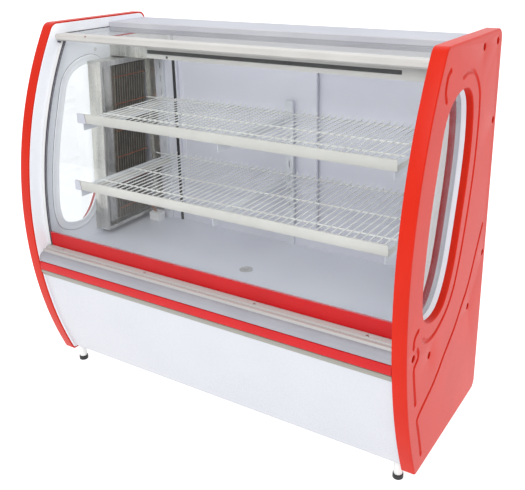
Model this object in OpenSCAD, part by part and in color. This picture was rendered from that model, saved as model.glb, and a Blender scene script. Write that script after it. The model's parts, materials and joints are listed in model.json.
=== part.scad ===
// Refrigerated bakery display case with curved front glass and moulded end panels.
// Millimetres. +Z is up, -Y is the customer side, the floor is z = 0.

/* [Overall size] */
// Width over the two end panels
case_w = 1400; // [1300:10:1700]
// Depth from the front bulge to the rear edge
case_d = 640; // [630:5:660]
// Height from the floor to the top of the end panels
case_h = 1240; // [1230:5:1260]
// Height of the deepest point of the front bulge
waist_z = 590; // [585:1:595]
// Radius of the front outline above the waist
upper_r = 1230; // [1200:10:1300]
// Radius of the front outline below the waist
lower_r = 1350; // [1330:10:1400]

/* [End panels] */
// Height of the underside of the end panels
panel_bottom = 47; // [45:1:53]
// Thickness of the moulded outer shell
shell_t = 37; // [34:1:40]
// Wall thickness of the outer shell
shell_wall = 5; // [4:0.5:6]
// Thickness of the white liner sheet
liner_t = 5; // [4:1:6]
// Depth of the white collar round the window
collar_depth = 22; // [18:1:24]
// Width of the trim ring inside the window
ring_w = 28; // [20:1:32]

/* [Glass] */
// Thickness of the curved front glass
front_glass_t = 6; // [5:1:8]
// How far the front glass lies behind the panel outline
front_glass_inset = 58; // [56:1:60]
// Thickness of the top glass and of the end windows
flat_glass_t = 6; // [5:1:6]

/* [Shelves] */
// Height of the upper shelf's wires
upper_shelf_z = 950; // [930:5:970]
// Height of the lower shelf's wires
lower_shelf_z = 727; // [710:5:740]
// Front edge of the upper shelf
upper_shelf_front = -158; // [-162:1:-150]
// Front edge of the lower shelf
lower_shelf_front = -198; // [-205:1:-190]
// Height of a shelf's front lip
shelf_lip = 32; // [28:1:36]
// Distance between shelf wires
wire_pitch = 23; // [20:1:30]
// Diameter of a shelf wire
wire_d = 4; // [3:0.5:5]

/* [Base] */
// Top of the display floor
floor_z = 455; // [450:1:460]
// Diameter of a levelling foot's pad
foot_d = 32; // [30:1:38]
// Height of a levelling foot's pad
foot_h = 15; // [12:1:18]
// How far a levelling foot screws out
foot_travel = 20; // [10:1:25]

/* [Hidden] */
$fn = 48;

gap = 0.4;                            // clearance between pieces that move apart
x_out = case_w / 2;
x_shell = x_out - shell_t;            // inner side of the outer shell
x_in = x_shell - liner_t;             // inner face of the liner
y_front = -case_d / 2;
y_rear = case_d / 2;
curve_steps = 14;

// Top structure
top_glass_z = case_h - 39;            // upper face of the top glass
deck_z = case_h - 22;                 // upper face of the top deck
bar_front = -130;
bar_rear = -86;
rail_front = 125;
rail_rear = 146;
lamp_x0 = -x_out + 400;
lamp_x1 = x_in;

// Lower front
bumper_top = 493;
bumper_bottom = 394;
apron_inset = 10;
apron_t = 2;
apron_bottom = 66;

// Rear structure
back_y = 244;                         // inner face of the rear wall
frame_rear = 302;
opening_x0 = -x_out + 225;            // left side of the door opening
tub_bottom = 405;
tub_top = floor_z - 2;
sill_top = floor_z + 34;
head_bottom = 1150;
head_top = 1186;
door_t = 12;
door_w = 590;
door_bottom = sill_top - 8;
door_top = head_bottom + 22;
track_1 = 256;                        // front face of the inner door
track_2 = 278;                        // front face of the outer door

// Shelves
shelf_x0 = -x_out + 139;
shelf_x1 = x_out - 110;
side_lip_step = 15;                   // the side lips end this far below the wires
mat_x0 = shelf_x0 + 61;               // the wires start this far in from the front lip's end
cap_t = 1.5;                          // folded cap on the left end of the front lip
upper_cap_w = 36;
lower_cap_w = 25;
upper_shelf_rear = 196;
lower_shelf_rear = 226;
sheet_t = 2;
bracket_drop = 26;
bracket_flange = 27;
upright_w = 30;
upright_t = 10;
upright_x = [-x_out + 158, 14, x_out - 120];
upright_top = [1095, 976, 976];

// Evaporator
evap_x = x_in - 63;                   // distance of its inner face from the middle
evap_front_low = -32;                 // the front leans back from here
evap_front_top = 0;
evap_bottom = 478;
evap_top = 1095;
baffle_front = 34;
baffle_rear = 76;
coil_z0 = 500;
coil_z1 = 1070;
coil_lean = 0.06;                     // the coil leans back with the cover's front
flange_x = -x_out + 140;              // end of the flange on the rear wall
fan_centre = [-x_out + 102, 180];
box_front = 178;                      // junction box beside the evaporator
box_depth = 36;
box_top = floor_z + 32;
box_x0 = -evap_x + 14;
lead_at = [-evap_x + 38, 196];
lead_d = 8;
lead_top = 548;

// Machine space
base_bottom = 60;
base_rail_h = 40;
base_top = base_bottom + base_rail_h;
leg_d = 26;
leg_x = x_out - 61;
leg_front = -181;
leg_back = 262;
stem_d = 10;
stem_top = foot_h + foot_travel + 21;
compressor_at = [-250, 60];
condenser_x = 150;
condenser_fan_z = 230;
grille_y = 304;
grille_t = 8;
knob_at = [420, 330];
switch_at = [500, 330];

// ---- Outline helpers ----------------------------------------------------------

function unit(v) = v / norm(v);
function turn(a0, a1) = let (d = a1 - a0) d > 180 ? d - 360 : d < -180 ? d + 360 : d;
function angle_of(v) = atan2(v[1], v[0]);

// Points of a round of radius r at corner b, between the directions to a and c
function corner(a, b, c, r, n = 6) =
    let (u = unit(a - b), v = unit(c - b), half = acos(u * v) / 2)
    let (m = b + unit(u + v) * r / sin(half))
    let (a0 = angle_of(b + u * r / tan(half) - m), a1 = angle_of(b + v * r / tan(half) - m))
    [for (i = [0 : n]) let (t = a0 + turn(a0, a1) * i / n) m + r * [cos(t), sin(t)]];

// Y of the front outline at height z, moved inward by inset
function front_y(z, inset = 0) =
    let (r = z > waist_z ? upper_r : lower_r)
    y_front + r - sqrt(pow(r - inset, 2) - pow(z - waist_z, 2));

// Points up the front outline from z0 to z1
function front_curve(z0, z1, inset = 0, n = curve_steps) =
    [for (i = [0 : n]) let (z = z0 + (z1 - z0) * i / n) [front_y(z, inset), z]];

// A curved sheet between two insets, from z0 to z1
function curved_sheet(z0, z1, inset, t, n = curve_steps) =
    concat(front_curve(z0, z1, inset, n), front_curve(z1, z0, inset + t, n));

// Side outline of an end panel, shrunk by inset e
function panel_outline(e = 0) =
    let (top = case_h - e, low = panel_bottom + e, back = y_rear - e)
    let (tf = [front_y(top, e), top], bf = [front_y(low, e), low])
    let (tr = [back, top], br = [back, low])
    let (above = [front_y(low + 40, e), low + 40], below = [front_y(top - 40, e), top - 40])
    concat(
        corner(br, bf, above, 12),
        front_curve(low + 14, waist_z, e, 8),
        [for (p = front_curve(waist_z, top - 22, e, 10)) if (p[1] > waist_z + 1) p],
        corner(below, tf, tr, 30),
        corner(tf, tr, br, 28),
        corner(tr, br, bf, 25));

// Window outline: a closed spline through points on an egg that leans with the front
window_knots = [
    [27, 525], [-60, 511], [-119, 462], [-153, 370], [-190, 240], [-213, 110], [-219, 10],
    [-196, -56], [-125, -84], [-52, -68], [10, 15], [58, 170], [88, 300], [97, 400], [82, 486]
];
function spline(a, b, c, d, t) =
    0.5 * (2 * b + (c - a) * t
        + (2 * a - 5 * b + 4 * c - d) * t * t
        + (3 * b - a - 3 * c + d) * t * t * t);
function loop_at(p, i) = p[(i + len(p)) % len(p)];
function closed_spline(p, n) =
    [for (i = [0 : len(p) - 1], j = [0 : n - 1])
        spline(loop_at(p, i - 1), p[i], loop_at(p, i + 1), loop_at(p, i + 2), j / n)];
// A closed loop moved outward by d (its points run anticlockwise)
function grown(p, d) =
    [for (i = [0 : len(p) - 1])
        let (t = unit(loop_at(p, i + 1) - loop_at(p, i - 1)))
        p[i] + d * [t[1], -t[0]]];
function window_outline(d = 0) =
    [for (p = grown(closed_spline(window_knots, 4), d)) p + [0, waist_z]];

// Screw places on an end panel, as [y, z]
panel_screw_places = [
    [153, 1205], [277, 1207], [290, 975], [292, 549], [177, 411], [-148, 408], [-267, 459]];

// ---- Placement helpers --------------------------------------------------------

module along_x(x0, x1) {
    translate([x0, 0, 0])
        rotate([90, 0, 90])
            linear_extrude(x1 - x0)
                children();
}
module box(lo, hi) {
    translate(lo) cube(hi - lo);
}
module rod_x(x0, x1, y, z, d) {
    translate([x0, y, z]) rotate([0, 90, 0]) cylinder(d = d, h = x1 - x0);
}
module rod_y(x, y0, y1, z, d) {
    translate([x, y0, z]) rotate([-90, 0, 0]) cylinder(d = d, h = y1 - y0);
}
// Draws its children for the right side (1) or the left side (-1)
module on_side(s) {
    mirror([s < 0 ? 1 : 0, 0, 0]) children();
}

// ---- End panels ---------------------------------------------------------------

round_x = [shell_t - 5, shell_t - 2, shell_t - 0.6, shell_t];
round_e = [0, 0.6, 2, 5];
recess_d = 21;                        // screw recesses in the side face
recess_depth = 10;
boss_wall = 2.5;

module shell_edge() {
    hull()
        for (i = [0 : 3])
            along_x(x_shell + round_x[i] - 0.05, x_shell + round_x[i])
                polygon(panel_outline(round_e[i]));
}
// Cups behind the screw recesses
module screw_bosses() {
    for (p = panel_screw_places)
        rod_x(x_out - recess_depth - boss_wall, x_out - 1, p[0], p[1], recess_d + 2 * boss_wall);
}
module outer_shell(s) {
    x_skin = x_out - shell_wall;
    x_collar = x_in + collar_depth;
    color("red") on_side(s) difference() {
        union() {
            along_x(x_in + 1, x_out - 5) polygon(panel_outline());
            shell_edge();
        }
        along_x(x_in, x_collar) polygon(panel_outline(shell_wall));
        difference() {
            along_x(x_collar - 1, x_skin) polygon(panel_outline(shell_wall));
            along_x(x_collar - 2, x_out) polygon(window_outline(shell_wall));
            screw_bosses();
        }
        along_x(x_in, x_out + 1) polygon(window_outline());
        for (p = panel_screw_places) {
            rod_x(x_out - recess_depth, x_out + 1, p[0], p[1], recess_d);
            rod_x(x_out - 20, x_out, p[0], p[1], 5);
        }
    }
}
module foam_core(s) {
    color("khaki") on_side(s) difference() {
        along_x(x_shell, x_out - shell_wall) polygon(panel_outline(shell_wall));
        along_x(x_shell - 1, x_out) polygon(window_outline(shell_wall));
        screw_bosses();
        for (p = panel_screw_places) rod_x(x_shell + 8, x_out, p[0], p[1], 5);
    }
}
module liner(s) {
    color("white") on_side(s) difference() {
        union() {
            along_x(x_in, x_shell) polygon(panel_outline(shell_wall + 0.2));
            along_x(x_shell - 1, x_in + collar_depth) polygon(window_outline(shell_wall));
        }
        along_x(x_in - 1, x_out) polygon(window_outline());
    }
}
module window_glass(s) {
    color("lightcyan", 0.4) on_side(s)
        along_x(x_in + 2, x_in + 2 + flat_glass_t) polygon(window_outline());
}
module window_ring(s) {
    color("whitesmoke") on_side(s) difference() {
        along_x(x_in - 3, x_in + 2) polygon(window_outline());
        along_x(x_in - 4, x_in + 3) polygon(window_outline(-ring_w));
    }
}
module panel_screws() {
    color("silver") for (s = [-1, 1], p = panel_screw_places) on_side(s) {
        rod_x(x_out - recess_depth, x_out - recess_depth + 2.5, p[0], p[1], 10);
        rod_x(x_shell + 8, x_out - recess_depth, p[0], p[1], 4.2);
    }
}

// ---- Front and top glass ------------------------------------------------------

trim_w = 12;
gasket_w = 4;
glass_bottom = 484;
glass_top = top_glass_z - 16;
bar_bottom = top_glass_z - 22;
slot_slack = 0.5;

module front_glass() {
    x = x_in - trim_w - gasket_w;
    color("lightcyan", 0.4) along_x(-x, x)
        polygon(curved_sheet(glass_bottom, glass_top, front_glass_inset, front_glass_t));
}
module glass_edge_trims() {
    color("tan") for (s = [-1, 1]) on_side(s)
        along_x(x_in - trim_w, x_in)
            polygon(curved_sheet(bumper_top + 2, bar_bottom, front_glass_inset - 4, front_glass_t + 8));
}
module glass_edge_gaskets() {
    x = x_in - trim_w;
    color("black") for (s = [-1, 1]) on_side(s)
        along_x(x - gasket_w, x)
            polygon(curved_sheet(bumper_top + 2, bar_bottom, front_glass_inset - 2, front_glass_t + 4));
}
// Rounded bar that holds the top of the front glass and the front of the top glass
module front_top_bar() {
    z = top_glass_z;
    color("silver") difference() {
        along_x(-x_in, x_in) polygon(concat(
            [[bar_rear, z + 2], [bar_front + 14, z + 2]],
            [for (i = [0 : 6]) [bar_front + 8, z - 6] + 8 * [-sin(i * 15), cos(i * 15)]],
            [[bar_front + 1, z - 15], [bar_front + 16, bar_bottom], [bar_rear, bar_bottom]]));
        along_x(-x_in - 1, x_in + 1)
            polygon(curved_sheet(bar_bottom - 1, glass_top,
                front_glass_inset - slot_slack, front_glass_t + 2 * slot_slack, 1));
        box([-x_in - 1, bar_rear - 10, z - flat_glass_t], [x_in + 1, bar_rear + 1, z]);
    }
}
module top_bar_end_gaskets() {
    color("black") for (s = [-1, 1]) on_side(s) difference() {
        box([x_in - 14, bar_front + 8, bar_bottom - 18], [x_in, bar_front + 15, bar_bottom]);
        along_x(x_in - 20, x_in + 1)
            polygon(curved_sheet(bar_bottom - 22, bar_bottom + 1, front_glass_inset - 4.6, 40, 4));
    }
}
module top_glass() {
    color("lightcyan", 0.4)
        box([-x_in, bar_rear - 10, top_glass_z - flat_glass_t], [x_in, rail_front + 4, top_glass_z]);
}
// Rail with two grooves that holds the rear of the top glass
module rear_top_rail() {
    color("gainsboro") difference() {
        box([-x_in, rail_front, head_top], [x_in, rail_rear, deck_z]);
        box([-x_in - 1, rail_front - 1, top_glass_z - flat_glass_t],
            [x_in + 1, rail_front + 4, top_glass_z]);
        for (y = [rail_front + 6, rail_front + 13])
            box([-x_in - 1, y, deck_z - 4], [x_in + 1, y + 3, deck_z + 1]);
    }
}
// Folded sheet tray that closes the top behind the glass
module top_deck() {
    color("aliceblue") difference() {
        box([-x_in, rail_rear, head_top], [x_in, y_rear - 5, deck_z]);
        box([-x_in + sheet_t, rail_rear + sheet_t, head_top - 1],
            [x_in - sheet_t, y_rear - 5 - sheet_t, deck_z - sheet_t]);
    }
}
// Channel that hangs behind the bar and is open below, with a slot in its front
module lamp_housing() {
    z = bar_bottom;
    color("gainsboro") difference() {
        box([lamp_x0, bar_rear, z - 38], [lamp_x1, bar_rear + 44, z]);
        box([lamp_x0 + 3, bar_rear - 1, z - 24], [lamp_x1 - 96, bar_rear + 6, z - 12]);
        box([lamp_x0 + 3, bar_rear + 8, z - 39], [lamp_x1 - 3, bar_rear + 40, z - 3]);
    }
}
module lamp_tube() {
    color("white") rod_x(lamp_x0 + 3, lamp_x1 - 3, bar_rear + 24, bar_bottom - 25, 16);
}

// ---- Bumper and apron ---------------------------------------------------------

strip_low = 416;
strip_high = 447;

module bumper_profile() {
    nose_steps = 6;
    nose = [for (i = [0 : nose_steps]) let (t = 90 * i / nose_steps)
        [-291, 458] + [-17 * sin(t), 19 * cos(t)]];
    color("silver") difference() {
        along_x(-x_in, x_in) polygon(concat(
            [[-246, bumper_top], [-262, bumper_top + 1], [-275, bumper_top - 3]],
            [[-277, bumper_top - 8], [-281, bumper_top - 7], [-288, bumper_top - 8]],
            nose,
            [[-308, strip_high + 2], [-304.6, strip_high + 1]],
            [[-304.6, strip_low - 1], [-308, strip_low - 2]],
            [[-306, 406], [-299, bumper_bottom], [-288, bumper_bottom]],
            [[-288, 455], [-270, 469], [-246, 480]]));
        along_x(-x_in - 1, x_in + 1) polygon([[-301, 400], [-301, 452], [-292, 452], [-292, 400]]);
        along_x(-x_in - 1, x_in + 1)
            polygon(curved_sheet(glass_bottom, bumper_top + 3,
                front_glass_inset - slot_slack, front_glass_t + 2 * slot_slack, 2));
        for (x = bumper_screw_x) {
            translate([x, -270, bumper_top - 22]) cylinder(d = 4.4, h = 30);
            translate([x, -270, bumper_top - 3]) cylinder(d = 9, h = 10);
        }
    }
}
module bumper_strip() {
    color("red") along_x(-x_in, x_in)
        polygon([[-304.6, strip_low], [-304.6, strip_high], [-308.5, strip_high - 1],
                 [-309.5, strip_high - 8], [-309.5, strip_low + 8], [-308.5, strip_low + 1]]);
}
bumper_screw_x = [-x_out + 120, -210, 210, x_out - 130];
module bumper_screws() {
    color("dimgray") for (x = bumper_screw_x) {
        translate([x, -270, bumper_top - 3]) cylinder(d1 = 8, d2 = 6, h = 2.5);
        translate([x, -270, bumper_top - 21]) cylinder(d = 4, h = 19);
    }
}
module front_apron() {
    color("white") along_x(-x_in, x_in)
        polygon(curved_sheet(apron_bottom, bumper_bottom - 0.5, apron_inset, apron_t));
}

// ---- Insulated tub ------------------------------------------------------------

drain_at = [12, -22];

module insulated_tub() {
    color("white") difference() {
        along_x(-x_in, x_in) polygon([
            [-286, tub_bottom], [-286, 453], [-269, 467], [-246, 478], [-229, 478],
            [-229, tub_top], [frame_rear, tub_top], [frame_rear, tub_bottom]]);
        translate([drain_at[0], drain_at[1], tub_bottom - 1]) cylinder(d = 32, h = 60);
    }
}
module floor_deck() {
    color("gainsboro") difference() {
        union() {
            box([-x_in, -229, tub_top], [x_in, back_y, floor_z]);
            box([-x_in, -229, tub_top], [x_in, -227, 479]);
        }
        translate([drain_at[0], drain_at[1], tub_top - 1]) cylinder(d = 32, h = 10);
    }
}
module drain_strainer() {
    color("silver") translate([drain_at[0], drain_at[1], 0]) difference() {
        union() {
            translate([0, 0, floor_z + gap]) cylinder(d = 44, h = 2);
            translate([0, 0, floor_z - 14]) cylinder(d = 30, h = 15);
        }
        translate([0, 0, floor_z - 15]) cylinder(d = 26, h = 14);
        for (a = [0 : 60 : 300])
            rotate([0, 0, a]) translate([8, 0, floor_z - 5]) cylinder(d = 4, h = 10);
    }
}

// ---- Rear wall and doors ------------------------------------------------------

module rear_fixed_panel() {
    color("lavender") box([-x_in, back_y, tub_top], [opening_x0, frame_rear, head_top]);
}
module door_track(y, z0, z1) {
    box([opening_x0 + 8, y - gap, z0], [x_in - 8, y + door_t + gap, z1]);
}
module door_frame() {
    color("gainsboro") difference() {
        box([opening_x0, back_y, tub_top], [x_in, frame_rear, head_top]);
        box([opening_x0 + 18, back_y - 1, sill_top], [x_in - 18, frame_rear + 1, head_bottom]);
        for (y = [track_1, track_2]) {
            door_track(y, door_bottom - gap, sill_top + 1);
            door_track(y, head_bottom - 1, door_top + 4);
            door_track(y, sill_top, head_bottom);
        }
    }
}
module door_jamb_seals() {
    color("black") {
        box([opening_x0, back_y - 3, floor_z], [opening_x0 + 12, back_y, head_top - 1]);
        box([x_in - 12, back_y - 3, floor_z], [x_in, back_y, head_top - 1]);
    }
}
// One sliding door: a thin panel in a raised frame
module door(x0, y) {
    z0 = door_bottom;
    stile_w = 26;
    rail_w = 40;
    color("lavender") difference() {
        box([x0, y, z0], [x0 + door_w, y + door_t, door_top]);
        for (face = [y - 1, y + door_t - 2])
            box([x0 + stile_w, face, z0 + rail_w], [x0 + door_w - stile_w, face + 3, door_top - rail_w]);
    }
}
module left_door() {
    door(opening_x0 + 9, track_1);
}
module right_door() {
    door(x_in - 9 - door_w, track_2);
}
// Bow handle: two posts and a flat grip
module door_pull(x, y0, y1, z0, z1) {
    box([x, y0, z0], [x + 24, y1, z0 + 14]);
    box([x, y0, z1 - 14], [x + 24, y1, z1]);
    box([x, y1 > y0 ? y1 - 4 : y1, z0], [x + 24, y1 > y0 ? y1 : y1 + 4, z1]);
}
module left_door_pull() {
    color("silver") door_pull(opening_x0 + 60, track_1 + door_t - 2, track_1 + door_t + 7, 840, 1000);
}
module right_door_pull() {
    color("silver") door_pull(x_in - 110, track_2 + door_t - 2, track_2 + door_t + 20, 840, 1000);
}

// ---- Shelves ------------------------------------------------------------------

module shelf_uprights() {
    color("white") for (i = [0 : 2]) let (x = upright_x[i], top = upright_top[i]) difference() {
        box([x, back_y - upright_t, floor_z], [x + upright_w, back_y, top]);
        box([x + 3, back_y - upright_t + 2, floor_z - 1], [x + upright_w - 3, back_y - 3, top + 1]);
        for (z = [floor_z + 40 : 50 : top - 40])
            box([x + 13, back_y - upright_t - 1, z], [x + 17, back_y - 2, z + 22]);
    }
}
// Folded bracket: a flange under the shelf and a web down its right-hand side
module bracket(x, front, rear, z) {
    box([x - bracket_flange, front, z - sheet_t], [x, rear, z]);
    box([x - sheet_t, front, z - bracket_drop], [x, back_y - upright_t, z]);
}
module shelf_brackets() {
    color("white") for (x = upright_x) {
        bracket(x, upper_shelf_front + 6, upper_shelf_rear, upper_shelf_z - shelf_lip - gap);
        bracket(x, lower_shelf_front + 6, lower_shelf_rear, lower_shelf_z - shelf_lip - gap);
    }
}
// Welded shelf: sheet lips on three sides, wires from front to back and bars across
module wire_shelf(front, rear, top, cap_w) {
    low = top - shelf_lip;
    n = floor((shelf_x1 - mat_x0 - 12) / wire_pitch);
    first = (mat_x0 + shelf_x1 - n * wire_pitch) / 2;
    color("whitesmoke") {
        box([shelf_x0, front, low], [shelf_x1, front + sheet_t, top]);
        box([shelf_x0, front - cap_t, low - 1], [shelf_x0 + cap_w, front, top + 0.5]);
        box([shelf_x0 - cap_t, front - cap_t, low], [shelf_x0, front + 14, top + 0.5]);
        for (x = [mat_x0, shelf_x1 - sheet_t])
            box([x, front, low], [x + sheet_t, rear, top - side_lip_step]);
        box([shelf_x0, front, low], [shelf_x1, front + 14, low + sheet_t]);
        for (i = [0 : n])
            rod_y(first + i * wire_pitch, front + 1, rear, top - wire_d / 2, wire_d);
        for (y = [front + 60, (front + rear) / 2, rear - 8])
            rod_x(y > rear - 9 ? shelf_x0 + 1 : mat_x0 + 1, shelf_x1 - 1, y, top - wire_d - 2, 5);
    }
}
module upper_shelf() {
    wire_shelf(upper_shelf_front, upper_shelf_rear, upper_shelf_z, upper_cap_w);
}
module lower_shelf() {
    wire_shelf(lower_shelf_front, lower_shelf_rear, lower_shelf_z, lower_cap_w);
}

// ---- Evaporator ---------------------------------------------------------------

// Side outline of the cover, with its four edges moved inward
function lean_at(z) = -coil_lean * (coil_z1 - z);
function evap_outline(front, rear, low, top) = [
    [evap_front_low + front, evap_bottom + low], [back_y - rear, evap_bottom + low],
    [back_y - rear, evap_top - top], [evap_front_top + front, evap_top - top]];
module evaporator_cover() {
    color("silver") {
        difference() {
            along_x(-x_in, -evap_x) polygon(evap_outline(0, 0, 0, 0));
            along_x(-x_in - 1, -evap_x - sheet_t)
                polygon(evap_outline(sheet_t, -1, sheet_t, sheet_t));
            along_x(-evap_x - 9, -evap_x + 9) polygon(evap_outline(10, 14, 12, 20));
            along_x(-x_in - 1, -x_in + 3.5) polygon(window_outline(0.6));
        }
        along_x(-evap_x - 20, -evap_x - 18) polygon([
            [baffle_front + lean_at(evap_bottom), evap_bottom + 1],
            [baffle_rear + lean_at(evap_bottom), evap_bottom + 1],
            [baffle_rear + lean_at(evap_top), evap_top - 1],
            [baffle_front + lean_at(evap_top), evap_top - 1]]);
        box([-evap_x - 3, back_y - sheet_t, evap_bottom], [flange_x, back_y, evap_top]);
    }
}
module evaporator_coil() {
    fin_pitch = 12.5;
    fin_t = 1.5;
    y0 = baffle_rear + 2;
    y1 = back_y - 10;
    low_y = lean_at(coil_z0);
    color("dimgray") {
        for (y = [y0 : fin_pitch : y1])
            along_x(-x_in + 6, -evap_x - 8) polygon([
                [y + low_y, coil_z0], [y + low_y + fin_t, coil_z0],
                [y + fin_t, coil_z1], [y, coil_z1]]);
        for (z = [coil_z0 + 40 : 98 : coil_z1 - 30], x = [-x_in + 16, -evap_x - 25])
            rod_y(x, y0 - 1 + lean_at(z), y1 + 4 + lean_at(z), z, 9);
    }
}
// Sheet-metal air box over the coil, with a round opening for the fan
module evaporator_plenum() {
    z0 = evap_top + 4;
    color("silver") difference() {
        box([-x_in, 118, z0], [-x_out + 215, back_y, top_glass_z - 20]);
        box([-x_in + 2, 120, z0 + 2], [-x_out + 213, back_y - 2, top_glass_z - 22]);
        translate([fan_centre[0], fan_centre[1], z0 - 1]) cylinder(d = 106, h = 5);
        box([-x_out + 150, 130, z0 - 1], [-x_out + 205, back_y - 12, z0 + 3]);
    }
}
module fan_wheel(r, hub_r, blades, h, bore_d) {
    difference() {
        union() {
            cylinder(r = hub_r, h = h);
            for (a = [0 : 360 / blades : 359])
                rotate([0, 0, a]) translate([hub_r - 2, 0, h / 2]) rotate([28, 0, 0])
                    translate([0, -r * 0.28, -1]) cube([r - hub_r, r * 0.56, 2]);
        }
        translate([0, 0, -1]) cylinder(d = bore_d, h = h + 2);
    }
}
shaft_d = 6;
bore_slack = 0.1;
module evaporator_fan() {
    color("dimgray") translate([fan_centre[0], fan_centre[1], evap_top + 12])
        fan_wheel(48, 16, 5, 14, shaft_d + bore_slack);
}
module evaporator_motor() {
    color("gray") translate([fan_centre[0], fan_centre[1], 0]) {
        translate([0, 0, evap_top + 30]) cylinder(d = 46, h = 30);
        translate([0, 0, evap_top + 10]) cylinder(d = shaft_d, h = 22);
        translate([-6, -60, evap_top + 58]) cube([12, 122, 3]);
    }
}
module junction_box() {
    color("white") difference() {
        box([box_x0, box_front, floor_z], [box_x0 + 48, box_front + box_depth, box_top]);
        translate([lead_at[0], lead_at[1], box_top - 6]) cylinder(d = lead_d, h = 7);
    }
}
// Lead that rises from the junction box and turns into the evaporator
module evaporator_lead() {
    color("peru") {
        translate([lead_at[0], lead_at[1], box_top - 6]) cylinder(d = lead_d, h = lead_top - box_top + 6);
        translate([lead_at[0], lead_at[1], lead_top]) sphere(d = lead_d);
        rod_x(-evap_x - 5, lead_at[0], lead_at[1], lead_top, lead_d);
    }
}

// ---- Machine space ------------------------------------------------------------

module base_frame() {
    x = x_in - 1;
    color("gray") {
        box([-x, leg_front - 7, base_bottom], [x, leg_front + 23, base_top]);
        box([-x, leg_back - 15, base_bottom], [x, leg_back + 15, base_top]);
        for (s = [-1, 1]) on_side(s)
            box([x - 30, leg_front + 20, base_bottom], [x, leg_back - 14, base_top]);
        box([-x, leg_front - 7, base_top - 1], [x, leg_back + 15, base_top + 1]);
        for (s = [-1, 1], y = [leg_front - 7, leg_back - 15]) on_side(s)
            box([x - 30, y, base_top], [x, y + 30, tub_bottom]);
    }
}
module compressor() {
    color("black") translate([compressor_at[0], compressor_at[1], base_top + 1]) {
        translate([-90, -60, 0]) cube([180, 120, 4]);
        for (x = [-70, 70], y = [-45, 45]) translate([x, y, 3]) cylinder(d = 24, h = 20);
        translate([-90, -60, 22]) cube([180, 120, 4]);
        translate([0, 0, 25]) rotate_extrude() polygon([
            [0, 0], [55, 0], [76, 12], [80, 30], [82, 78], [80, 90], [72, 130], [52, 150], [0, 158]]);
        translate([78, -24, 60]) cube([26, 48, 62]);
        translate([-118, 0, 130]) rotate([0, 90, 0]) cylinder(d = 10, h = 60);
    }
}
module condenser_coil() {
    fin_pitch = 10;
    z0 = base_top + 1;
    color("dimgray") {
        for (i = [0 : 24])
            translate([condenser_x - 30, -60 + i * fin_pitch, z0]) cube([60, 1.5, 250]);
        for (z = [z0 + 30 : 48 : z0 + 230], x = [condenser_x - 15, condenser_x + 15])
            rod_y(x, -64, 186, z, 10);
    }
}
module condenser_shroud() {
    z0 = base_top + 1;
    x0 = condenser_x - 62;
    color("gray") difference() {
        box([x0, -66, z0], [x0 + 32, 188, z0 + 254]);
        box([x0 + 2, -64, z0 + 2], [x0 + 33, 186, z0 + 252]);
        rod_x(x0 - 1, x0 + 10, 61, condenser_fan_z, 210);
    }
    color("gray") {
        rod_x(x0 - 70, x0 - 26, 61, condenser_fan_z, 76);
        rod_x(x0 - 28, x0 + 8, 61, condenser_fan_z, shaft_d);
        box([x0 - 50, 55, z0], [x0 - 44, 67, condenser_fan_z - 30]);
    }
}
module condenser_fan() {
    color("dimgray") translate([condenser_x - 78, 61, condenser_fan_z]) rotate([0, 90, 0])
        fan_wheel(96, 28, 5, 20, shaft_d + bore_slack);
}
// Louvred cover of the machine space
module rear_grille() {
    z0 = base_bottom + 2;
    z1 = tub_bottom - 3;
    color("gainsboro") difference() {
        box([-x_in + 2, grille_y, z0], [x_in - 2, grille_y + grille_t, z1]);
        for (x = [-560, -300, -40], z = [z0 + 60 : 22 : z1 - 60])
            box([x, grille_y - 1, z], [x + 200, grille_y + grille_t + 1, z + 9]);
        rod_y(knob_at[0], grille_y - 1, grille_y + grille_t + 1, knob_at[1], 10);
        box([switch_at[0] - 11, grille_y - 1, switch_at[1] - 15],
            [switch_at[0] + 11, grille_y + grille_t + 1, switch_at[1] + 15]);
        rod_y(-600, grille_y - 1, grille_y + grille_t + 1, 110, 16);
    }
}
module thermostat_knob() {
    y0 = grille_y + grille_t;
    color("black") difference() {
        union() {
            rod_y(knob_at[0], y0 + gap, y_rear, knob_at[1], 32);
            rod_y(knob_at[0], grille_y - 8, y0 + 2, knob_at[1], 9.9);
        }
        box([knob_at[0] - 1, y_rear - 1, knob_at[1]], [knob_at[0] + 1, y_rear + 1, knob_at[1] + 17]);
    }
}
// Rocker that pivots about its middle
module light_switch() {
    y0 = grille_y + grille_t;
    color("black") translate([switch_at[0], 0, switch_at[1]]) {
        difference() {
            along_x(-9, 9)
                polygon([[grille_y + 1, -10], [y0 + 2, -12.5], [y0 + 1, 0],
                         [y0 + 5, 12], [grille_y + 1, 10]]);
            rod_x(-10, 10, grille_y + 4, 0, 3);
        }
    }
}
module cable_inlet() {
    color("black") difference() {
        union() {
            rod_y(-600, grille_y + grille_t, y_rear - 1, 110, 24);
            rod_y(-600, grille_y - 10, y_rear - 2, 110, 16);
        }
        rod_y(-600, grille_y - 11, y_rear, 110, 9);
    }
}

// ---- Legs and feet ------------------------------------------------------------

foot_places = [[-leg_x, leg_front], [leg_x, leg_front], [-leg_x, leg_back], [leg_x, leg_back]];

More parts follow.
